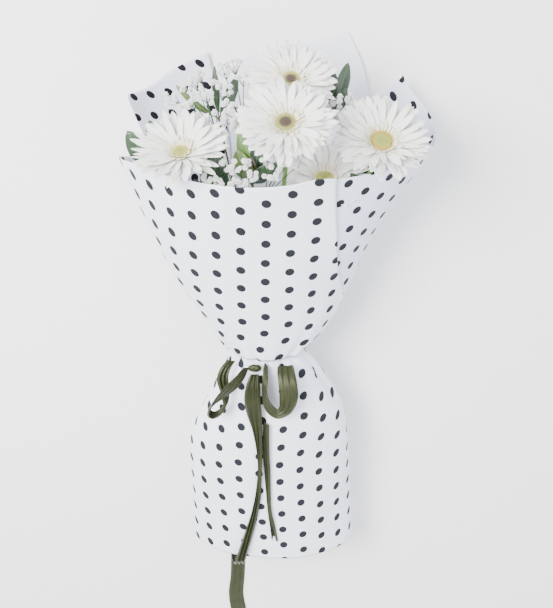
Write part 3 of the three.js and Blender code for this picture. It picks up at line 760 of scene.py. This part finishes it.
GERBERAS = {  # head centre, face tilt, lean, petal radius, cup, petals, disc radius
    "left": ([-100, 577, 72], 62, -8, 53, 20, 22, 8),
    "top": ([15, 648, 46], 52, 0, 50, 9, 24, 9),
    "middle": ([9, 622, 120], 52, -2, 51, 14, 26, 10),
    "right": ([106, 594, 90], 50, 8, 51, 22, 24, 12),
    "lower": ([53, 539, 44], 64, 3, 53, 18, 24, 9),
}
for name in GERBERAS:
    route = stem_route(f"gerbera_{name}_stem", 1000)
    parts = Parts()
    parts.add(*tube(route, [3.0, 2.7, 2.6, 2.5, 2.3, 2.5], 16))
    stem = parts.piece(f"gerbera_stem_{name}", [stem_green])
    stands_for(stem, "flower_stem", f"gerbera_{name}_stem")

raffia, tree, shader = new_material("raffia", (0.5, 0.4, 0.24), 0.75)
fibre = ramp(tree, noise_field(tree, 500), [(0.3, (0.38, 0.29, 0.16)), (0.7, (0.6, 0.5, 0.32))])
tree.links.new(fibre, shader.inputs["Base Color"])
bump(tree, shader, noise_field(tree, 900), 0.0002)
binding_low, binding_high = (stand_up(corner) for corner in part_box("stem_binding"))
binding_radius = (binding_high[0] - binding_low[0]) / 2 - 0.7
bindings = []
for turn in range(5):
    bpy.ops.mesh.primitive_torus_add(
        major_segments=64,
        minor_segments=10,
        major_radius=(binding_radius + 0.25 * math.sin(3 * turn)) * MM,
        minor_radius=1.05 * MM,
        location=lay_down([-9, TIE_HEIGHT - 4.6 + 2.3 * turn, 3]),
        rotation=(math.pi / 2 + LYING_TILT + 0.02 * math.sin(2 * turn), 0, 0),
    )
    bindings.append(bpy.context.object)
bpy.ops.object.select_all(action="DESELECT")
for ring in bindings:
    ring.select_set(True)
bpy.context.view_layer.objects.active = bindings[0]
bpy.ops.object.join()
binding = bpy.context.object
binding.name = "raffia_binding"
bpy.ops.object.transform_apply(location=True, rotation=True, scale=True)
binding.data.polygons.foreach_set("use_smooth", [True] * len(binding.data.polygons))
binding.data.materials.append(raffia)
stands_for(binding, "binding", "stem_binding")

# ---- Gerbera heads ----
# Each head is a cup of green bracts, three layers of long white ray petals, two rings of short
# cream inner petals and a disc packed with small florets. One petal shape is bent and repeated.
PETAL_OUTLINE = [[0, 0.4], [0.2, 0.66], [0.45, 0.92], [0.65, 1.0], [0.8, 0.88], [0.92, 0.56], [1, 0.1]]


def petal(
    parts, head, length, width, start, height, rise, droop, spin, twist, kind=0, cells=(6, 12), hollow=0.12
):
    """One petal from radius start at height on the head, with rounded tip and shallow grooves."""
    place, turn = head
    s, t = np.meshgrid(np.linspace(-1, 1, cells[0] + 1), np.linspace(0, 1, cells[1] + 1))
    half = width / 2 * curve_at(PETAL_OUTLINE, t)
    notch = 0.02 * length * np.exp(-(s**2) / 0.05) * np.clip((t - 0.9) / 0.1, 0, 1)
    grooves = 0.1 * width * 0.5 * np.cos(2 * math.pi * s * 1.25) * np.clip(t * 2, 0, 1)
    reach = start + length * t * math.cos(rise) - notch
    lift = height + length * t * math.sin(rise) - droop * length * t**2.4
    lift = lift + hollow * width * s**2 * (1 - 0.4 * t) - 0.35 * grooves + half * s * math.sin(twist) * t
    c, d = math.cos(spin), math.sin(spin)
    x, y = reach * c - half * s * d, reach * d + half * s * c
    points = np.stack([x, y, lift], -1).reshape(-1, 3) @ np.array(turn.to_matrix()).T + np.array(place)
    uv = np.stack([(s + 1) / 2, t], -1).reshape(-1, 2)
    parts.add(points, grid_faces(cells[1] + 1, cells[0] + 1), uv, kind)


def petal_material(name, root, body, tip, vein):
    material, tree, shader = new_material(name, body, 0.5)
    shader.inputs["Specular IOR Level"].default_value = 0.3
    shader.inputs["Subsurface Weight"].default_value = 0.25
    shader.inputs["Subsurface Radius"].default_value = (0.004, 0.004, 0.003)
    shader.inputs["Sheen Weight"].default_value = 0.15
    across, up = own_uv(tree)
    colour = ramp(tree, up, [(0, root), (0.38, body), (1, tip)])
    line = calculate(tree, "SINE", calculate(tree, "MULTIPLY", across, 44))
    thin = calculate(tree, "POWER", calculate(tree, "MULTIPLY_ADD", line, 0.5, 0.5), 6)
    colour = mixed(tree, calculate(tree, "MULTIPLY", thin, 0.22), colour, vein)
    tree.links.new(colour, shader.inputs["Base Color"])
    bump(tree, shader, calculate(tree, "MULTIPLY_ADD", noise_field(tree, 300), 0.5, line), 0.00022, 0.6)
    return material


white_petal = petal_material(
    "white_ray_petal",
    (0.72, 0.7, 0.45),
    (0.86, 0.86, 0.83),
    (0.88, 0.88, 0.87),
    (0.66, 0.64, 0.58),
)
cream_petal = petal_material(
    "cream_inner_petal",
    (0.7, 0.62, 0.25),
    (0.83, 0.78, 0.56),
    (0.87, 0.84, 0.74),
    (0.7, 0.6, 0.42),
)
bract_green = petal_material(
    "green_bract",
    (0.12, 0.2, 0.05),
    (0.1, 0.2, 0.05),
    (0.17, 0.22, 0.09),
    (0.05, 0.1, 0.03),
)


def disc_material(name, stops):
    material, tree, shader = new_material(name, (0.4, 0.42, 0.08), 0.6)
    shader.inputs["Sheen Weight"].default_value = 0.3
    reach, up = own_uv(tree)
    speckled = calculate(tree, "MULTIPLY_ADD", noise_field(tree, 900), 0.16, reach)
    colour = ramp(tree, calculate(tree, "SUBTRACT", speckled, 0.08), stops)
    # Florets and the disc floor between them are painted darker towards their feet: painted shade between the
    # packed florets.
    darker = calculate(tree, "SUBTRACT", 1, up)
    painted_floret_shade = calculate(tree, "MULTIPLY", darker, 0.45)
    tree.links.new(mixed(tree, painted_floret_shade, colour, (0.05, 0.07, 0.01)), shader.inputs["Base Color"])
    bump(tree, shader, noise_field(tree, 1200), 0.0003)
    return material


maroon_disc = disc_material("maroon_disc",
    [
        (0, (0.03, 0.012, 0.01)),
        (0.5, (0.08, 0.03, 0.015)),
        (0.72, (0.42, 0.42, 0.1)),
        (1, (0.6, 0.58, 0.2)),
    ],
)
green_disc = disc_material("green_disc",
    [
        (0, (0.25, 0.32, 0.04)),
        (0.5, (0.42, 0.46, 0.07)),
        (0.8, (0.55, 0.52, 0.1)),
        (1, (0.62, 0.5, 0.12)),
    ],
)
amber_disc = disc_material("amber_disc",
    [
        (0, (0.33, 0.38, 0.05)),
        (0.6, (0.46, 0.48, 0.08)),
        (0.8, (0.62, 0.42, 0.04)),
        (1, (0.7, 0.55, 0.1)),
    ],
)
DISC_LOOKS = {
    "left": green_disc,
    "top": maroon_disc,
    "middle": maroon_disc,
    "right": amber_disc,
    "lower": green_disc,
}


def floret(parts, head, x, y, z, radius, height, reach, lean):
    """A tiny open tube with a flared, pointed mouth, five-sided."""
    place, turn = head
    ring = np.linspace(0, 2 * math.pi, 5, endpoint=False) + shake.random()
    rows = [(0.55, 0.0), (0.6, 0.55), (1.0, 0.9), (0.35, 1.0)]
    points = []
    for size, level in rows:
        for a in ring:
            out = radius * size
            shift = level * height
            points.append(
                [
                    x + out * math.cos(a) + lean[0] * shift,
                    y + out * math.sin(a) + lean[1] * shift,
                    z + shift,
                ]
            )
    faces = [
        (j * 5 + i, j * 5 + (i + 1) % 5, (j + 1) * 5 + (i + 1) % 5, (j + 1) * 5 + i)
        for j in range(3)
        for i in range(5)
    ]
    faces += [(4, 3, 2, 1, 0), (15, 16, 17, 18, 19)]
    uv = [[reach, level] for _, level in rows for _ in range(5)]
    parts.add(np.array(points) @ np.array(turn.to_matrix()).T + np.array(place), faces, uv)


for name, (place, face, lean, radius, cup, count, disc) in GERBERAS.items():
    face, lean, cup = math.radians(face), math.radians(lean), math.radians(cup)
    out = Vector((math.cos(face) * math.sin(lean), math.sin(face), math.cos(face) * math.cos(lean)))
    head = (place, Vector((0, 0, 1)).rotation_difference(out))

    parts = Parts()
    ray_layers = (
        (count + 3, 1.0, -0.04, 9.2),
        (count + 1, 0.97, 0.06, 8.6),
        (count - 4, 0.84, 0.17, 7.8),
    )
    for layer, (petals, reach, raise_, wide) in enumerate(ray_layers):
        for k in range(petals):
            spin = 2 * math.pi * (k + 0.37 * layer) / petals + shake.uniform(-0.07, 0.07)
            length = (radius - 4) * reach * shake.uniform(0.9, 1.04) / math.cos(cup)
            petal(
                parts, head, length, wide * shake.uniform(0.82, 1.1), 4, 0.2 + 0.9 * layer,
                cup + raise_ + shake.uniform(-0.07, 0.07), shake.uniform(-0.02, 0.11),
                spin, shake.uniform(-0.6, 0.6),
            )
    rays = parts.piece(f"gerbera_ray_petals_{name}", [white_petal])
    thicken(rays, 0.45)
    stands_for(rays, "white_petal", f"gerbera_{name}_ray_petals")

    parts = Parts()
    for layer, (petals, reach, raise_, wide) in enumerate(((20, 14, 0.26, 4.6), (22, 9.5, 0.5, 3.4))):
        for k in range(petals):
            spin = 2 * math.pi * (k + 0.5 * layer) / petals + shake.uniform(-0.06, 0.06)
            petal(
                parts, head,
                reach * shake.uniform(0.85, 1.12), wide * shake.uniform(0.85, 1.1), disc - 1.5,
                2.0 + (disc - 1.5) * math.tan(cup) + 0.7 * layer,
                cup + raise_ + shake.uniform(-0.1, 0.12),
                shake.uniform(-0.05, 0.1), spin, shake.uniform(-0.5, 0.5), cells=(3, 6), hollow=0.2,
            )
    inner = parts.piece(f"gerbera_inner_petals_{name}", [cream_petal])
    thicken(inner, 0.35)
    stands_for(inner, "cream_petal", f"gerbera_{name}_inner_petals")

    parts = Parts()
    base = 2.6 + disc * math.tan(cup) * 0.9
    dome = [[0, 2.4], [disc * 0.7, 2.0], [disc, 0.3], [disc * 0.96, -2.2], [0, -3]]
    turn = np.linspace(0, 2 * math.pi, 24, endpoint=False)
    rings = [[r * math.cos(a), r * math.sin(a), base + h] for r, h in dome[1:4] for a in turn]
    cap = np.array(rings + [[0, 0, base + 2.4], [0, 0, base - 3]])
    faces = [
        (j * 24 + i, (j + 1) * 24 + i, (j + 1) * 24 + (i + 1) % 24, j * 24 + (i + 1) % 24)
        for j in range(2)
        for i in range(24)
    ]
    faces += [(i, (i + 1) % 24, 72) for i in range(24)] + [(48 + (i + 1) % 24, 48 + i, 73) for i in range(24)]
    uv = [[min(math.hypot(*p[:2]) / disc, 1), 0.2] for p in cap]
    parts.add(cap @ np.array(head[1].to_matrix()).T + np.array(place), faces, uv)
    florets = 150
    for k in range(florets):
        reach = math.sqrt((k + 0.5) / florets)
        a = k * 2.39996
        x, y = reach * disc * math.cos(a), reach * disc * math.sin(a)
        tall = (1.0 + 1.9 * reach**2) * shake.uniform(0.8, 1.2)
        flare = 0.5 * reach**2
        floret(
            parts, head, x, y, base + 2.1 - 1.9 * reach**3, 0.62 + 0.1 * reach, tall, reach,
            (flare * math.cos(a), flare * math.sin(a)),
        )
    disc_piece = parts.piece(f"gerbera_disc_{name}", [DISC_LOOKS[name]])
    stands_for(disc_piece, "flower_disc", f"gerbera_{name}_disc")

    parts = Parts()
    bract_layers = ((14, 3.2, -13.4, 13, 0.95), (16, 5.5, -10.5, 11.5, 0.85), (18, 7, -7.5, 9.5, 0.7))
    for layer, (bracts, start, height, length, rise) in enumerate(bract_layers):
        for k in range(bracts):
            petal(
                parts, head, length, 4.4, start, height, rise + shake.uniform(-0.05, 0.05), 0.12,
                2 * math.pi * (k + layer / 3) / bracts, 0, cells=(3, 5), hollow=-0.15,
            )
    profile = [(0.01, -14.2), (3.2, -14), (6.8, -10.5), (8.6, -6), (8.6, -2.2), (0.01, -1.4)]
    cup_points = np.array([[r * math.cos(a), r * math.sin(a), h] for r, h in profile for a in turn])
    faces = [
        (j * 24 + i, j * 24 + (i + 1) % 24, (j + 1) * 24 + (i + 1) % 24, (j + 1) * 24 + i)
        for j in range(5)
        for i in range(24)
    ]
    faces += [tuple(range(23, -1, -1)), tuple(range(120, 144))]
    bracts = parts.piece(f"gerbera_bracts_{name}", [bract_green])
    thicken(bracts, 0.5)
    stands_for(bracts, "flower_stem", f"gerbera_{name}_calyx")
    cup_part = Parts()
    cup_points = cup_points @ np.array(head[1].to_matrix()).T + np.array(place)
    cup_part.add(cup_points, faces, [[0.5, 0.2]] * len(cup_points))
    cup_piece = cup_part.piece(f"gerbera_cup_{name}", [bract_green])
    stands_for(cup_piece, "flower_stem", f"gerbera_{name}_calyx")

# ---- Gypsophila ----
# Wiry green stems that fork again and again and end in clusters of tiny double white blossoms.
# A blossom is three rings of folded petals.
SPRAYS = {  # fork, tips
    "left_back": (
        [-66, 580, 4],
        [
            [-110, 626, 26], [-99, 634, 14], [-86, 640, 20], [-93, 622, 30],
            [-76, 628, 26], [-66, 640, 12], [-83, 648, 2],
        ],
    ),
    "middle_back": (
        [-36, 596, 10],
        [
            [-58, 652, 2], [-46, 656, -4], [-36, 645, 12], [-55, 634, 22],
            [-45, 622, 34], [-62, 618, 34], [-50, 606, 44],
        ],
    ),
    "front_left": (
        [-40, 524, 60],
        [
            [-70, 560, 90], [-61, 552, 92], [-52, 570, 88], [-44, 558, 94],
            [-36, 572, 86], [-29, 554, 92], [-20, 562, 90],
        ],
    ),
    "middle": ([-12, 536, 74], [[-8, 586, 98], [3, 580, 104], [15, 586, 104], [25, 580, 99], [-2, 570, 104]]),
    "right": ([80, 574, 4], [[60, 626, 58], [68, 616, 64], [76, 608, 70], [72, 630, 50], [84, 622, 54]]),
}
wiry_green, tree, shader = new_material("wiry_green", (0.06, 0.13, 0.03), 0.5)
twig_colour = ramp(tree, noise_field(tree, 150), [(0.3, (0.015, 0.04, 0.012)), (0.7, (0.04, 0.09, 0.025))])
tree.links.new(twig_colour, shader.inputs["Base Color"])
blossom_white = petal_material(
    "gypsophila_petal",
    (0.75, 0.78, 0.62),
    (0.87, 0.88, 0.86),
    (0.89, 0.9, 0.9),
    (0.8, 0.82, 0.8),
)


def blossom(parts, place, out, size):
    turn = Vector((0, 0, 1)).rotation_difference(Vector(out))
    rings = ((6, 1.0, 0.3, 1.0), (6, 0.85, 0.8, 0.85), (4, 0.6, 1.2, 0.7))
    for ring, (petals, reach, rise, wide) in enumerate(rings):
        for k in range(petals):
            petal(
                parts, (place, turn), size * reach, size * wide, 0.1, 0.1,
                rise + shake.uniform(-0.2, 0.2), 0.1,
                2 * math.pi * (k + ring / 2) / petals + shake.uniform(-0.2, 0.2),
                shake.uniform(-0.6, 0.6), cells=(2, 3), hollow=0.25,
            )


for name, (fork, tips) in SPRAYS.items():
    node = f"gypsophila_{name}"
    fork = np.array(fork, float)
    route = stem_route(node, fork[1] - 4) + [fork]
    twigs, petals_ = Parts(), Parts()
    twigs.add(*tube(route, [1.3, 1.2, 1.0, 0.8], 8))
    for tip in tips:
        tip = np.array(tip, float)
        knee = fork + 0.5 * (tip - fork) + [0, 0, 4]
        twigs.add(*tube([fork - [0, 3, 0], knee, tip - [0, 2, 3]], [0.7, 0.5, 0.4], 6, 6))
        for k in range(7):
            spot = tip + [shake.uniform(-8, 8), shake.uniform(-7, 6.5), shake.uniform(-2, 4.5)]
            middle = (knee * 0.35 + tip * 0.65) + [0, 0, -1]
            twigs.add(*tube([middle, (middle + spot) / 2 + [0, 0, -1.2], spot], [0.4, 0.3, 0.35], 5, 3))
            out = Vector((spot - fork)).normalized() + Vector((shake.uniform(-0.5, 0.5), 0.3, 0.9))
            blossom(petals_, spot, out.normalized(), shake.uniform(2.6, 3.9))
    twigs = twigs.piece(f"gypsophila_twigs_{name}", [wiry_green])
    stands_for(twigs, "spray", node)
    petals_ = petals_.piece(f"gypsophila_blossoms_{name}", [blossom_white])
    thicken(petals_, 0.18)
    stands_for(petals_, "spray", node)

# ---- Leaf sprigs ----
# Reddish brown woody stems with leathery leaves, dark and glossy above and paler below, with a
# raised midrib and fine side veins. Each blade is arched along its length.
SPRIGS = {  # fork, leaves as tip, width, tone
    "left": (
        [-128, 542, 20],
        [
            ([-163, 592, 28], 27, 0), ([-126, 592, 4], 20, 0), ([-140, 600, 12], 18, 0),
        ],
    ),
    "front_left": ([-70, 520, 60], [([-64, 581, 70], 30, 0), ([-88, 552, 72], 15, 0)]),
    "middle": (
        [-26, 540, 52],
        [
            ([-40, 600, 56], 13, 3), ([-18, 593, 50], 16, 0), ([-42, 582, 66], 20, 1),
            ([-13, 568, 75], 17, 0), ([2, 574, 78], 9, 0), ([-27, 573, 62], 12, 2),
        ],
    ),
    "right": ([104, 530, 26], [([114, 562, 66], 14, 0), ([92, 580, 36], 14, 0), ([79, 558, 70], 13, 0)]),
    "top_right": (
        [60, 600, -2],
        [
            ([79, 657, -14], 15, 0), ([76, 634, 6], 14, 0), ([64, 646, -18], 13, 0),
        ],
    ),
    "top_left": (
        [-66, 592, -22],
        [
            ([-112, 632, -14], 9, 1), ([-69, 652, -20], 8, 0), ([-44, 640, -22], 14, 0),
        ],
    ),
}
LEAF_OUTLINE = [
    [0, 0.05], [0.12, 0.48], [0.3, 0.86], [0.5, 1.0], [0.72, 0.9], [0.88, 0.58], [0.96, 0.3],
    [1, 0.02],
]


def leaf_material(name, dark, light, rib):
    material, tree, shader = new_material(name, dark, 0.32)
    shader.inputs["Specular IOR Level"].default_value = 0.6
    shader.inputs["Coat Weight"].default_value = 0.25
    shader.inputs["Coat Roughness"].default_value = 0.25
    across, up = own_uv(tree)
    aside = calculate(tree, "ABSOLUTE", calculate(tree, "SUBTRACT", across, 0.5))
    upward, outward = calculate(tree, "MULTIPLY", up, 60), calculate(tree, "MULTIPLY", aside, 40)
    wave = calculate(tree, "SINE", calculate(tree, "SUBTRACT", upward, outward))
    side_veins = calculate(tree, "POWER", calculate(tree, "MULTIPLY_ADD", wave, 0.5, 0.5), 8)
    midrib = calculate(tree, "LESS_THAN", aside, 0.03)
    rim = calculate(tree, "GREATER_THAN", aside, 0.46)
    edge_lines = calculate(tree, "MAXIMUM", midrib, calculate(tree, "MULTIPLY", rim, 0.6))
    lines = calculate(tree, "MAXIMUM", calculate(tree, "MULTIPLY", side_veins, 0.35), edge_lines)
    body = ramp(tree, noise_field(tree, 70), [(0.3, dark), (0.72, light)])
    veined = mixed(tree, calculate(tree, "MULTIPLY", lines, 0.7), body, rib)
    tree.links.new(veined, shader.inputs["Base Color"])
    bump(tree, shader, calculate(tree, "MULTIPLY_ADD", side_veins, -0.6, noise_field(tree, 350)), 0.0003, 0.6)
    return material


leaf_looks = [
    leaf_material("dark_leaf", (0.012, 0.035, 0.014), (0.03, 0.07, 0.028), (0.1, 0.16, 0.07)),
    leaf_material("olive_leaf", (0.07, 0.12, 0.03), (0.13, 0.2, 0.06), (0.25, 0.32, 0.14)),
    leaf_material("reddish_leaf", (0.04, 0.035, 0.02), (0.07, 0.06, 0.03), (0.2, 0.09, 0.05)),
    leaf_material("young_leaf", (0.06, 0.14, 0.025), (0.11, 0.22, 0.05), (0.2, 0.32, 0.1)),
]
woody, tree, shader = new_material("woody_stem", (0.12, 0.05, 0.03), 0.6)
bark = ramp(tree, noise_field(tree, 120), [(0.3, (0.1, 0.04, 0.02)), (0.7, (0.12, 0.13, 0.05))])
tree.links.new(bark, shader.inputs["Base Color"])
bump(tree, shader, noise_field(tree, 500), 0.0002)
for name, (fork, leaves) in SPRIGS.items():
    node = f"leaf_sprig_{name}"
    fork = np.array(fork, float)
    route = stem_route(node, fork[1] - 4) + [fork]
    stems, blades = Parts(), Parts()
    stems.add(*tube(route, [1.6, 1.5, 1.3, 1.1], 8))
    for tip, width, tone in leaves:
        line = np.array(tip, float) - fork
        side = np.cross(line, [0, -0.35, 1])
        side /= np.linalg.norm(side)
        up = np.cross(side, line)
        up *= np.sign(up[2]) / np.linalg.norm(up)
        stems.add(*tube([fork - line * 0.03, fork + line * 0.08, fork + line * 0.17], [1.0, 0.8, 0.6], 6, 3))
        s, t = np.meshgrid(np.linspace(-1, 1, 9), np.linspace(0, 1, 19))
        half = width / 2 * curve_at(LEAF_OUTLINE, t)
        arch = 5 * np.sin(math.pi * (0.1 + 0.9 * t)) + 0.16 * half * np.abs(s) + 0.5 * np.sin(9 * t + 3 * s)
        blade = fork + line * (0.1 + 0.9 * t[..., None]) + side * (half * s)[..., None] + up * arch[..., None]
        uv = np.stack([(s + 1) / 2, t], -1).reshape(-1, 2)
        blades.add(blade.reshape(-1, 3), grid_faces(19, 9), uv, tone)
    stems = stems.piece(f"sprig_stem_{name}", [woody])
    stands_for(stems, "leaf", node)
    blades = blades.piece(f"sprig_leaves_{name}", leaf_looks)
    thicken(blades, 0.5)
    stands_for(blades, "leaf", node)

# ---- Floor, light and camera ----
# The bouquet lies on a plain pale floor under soft studio light. The camera looks down on it from
# beyond the heads' side, so the heads are nearest.
bpy.ops.mesh.primitive_plane_add(size=14, location=(0, 0, -0.0005))
floor = bpy.context.object
floor.name = "pale_floor"
floor_material, tree, shader = new_material("pale_floor", (0.9, 0.9, 0.905), 0.8)
floor.data.materials.append(floor_material)

world = bpy.context.scene.world or bpy.data.worlds.new("soft_room")
bpy.context.scene.world = world
world.use_nodes = True
world.node_tree.nodes["Background"].inputs["Color"].default_value = (0.95, 0.97, 1.0, 1)
world.node_tree.nodes["Background"].inputs["Strength"].default_value = 1.7
for name, place, size, power, colour in (
    ("key_light", (-0.9, 0.9, 1.6), 0.9, 105, (1.0, 0.985, 0.96)),
    ("fill_light", (1.3, 0.3, 1.4), 1.6, 16, (0.93, 0.96, 1.0)),
    ("front_light", (0.1, -1.3, 1.3), 1.6, 10, (1, 1, 1)),
):
    light = bpy.data.lights.new(name, "AREA")
    light.energy = power
    light.size = size
    light.color = colour
    lamp = bpy.data.objects.new(name, light)
    bpy.context.collection.objects.link(lamp)
    lamp.location = place
    lamp.rotation_euler = (Vector((0, 0.1, 0.1)) - Vector(place)).to_track_quat("-Z", "Y").to_euler()

camera_data = bpy.data.cameras.new("camera")
camera_data.lens = 48.92
camera_data.sensor_width = 36
camera = bpy.data.objects.new("camera", camera_data)
bpy.context.collection.objects.link(camera)
camera.location = lay_down([0, 835.5, 916.1])
camera.rotation_euler = (-(math.radians(27.156) - LYING_TILT), 0, 0)
bpy.context.scene.camera = camera
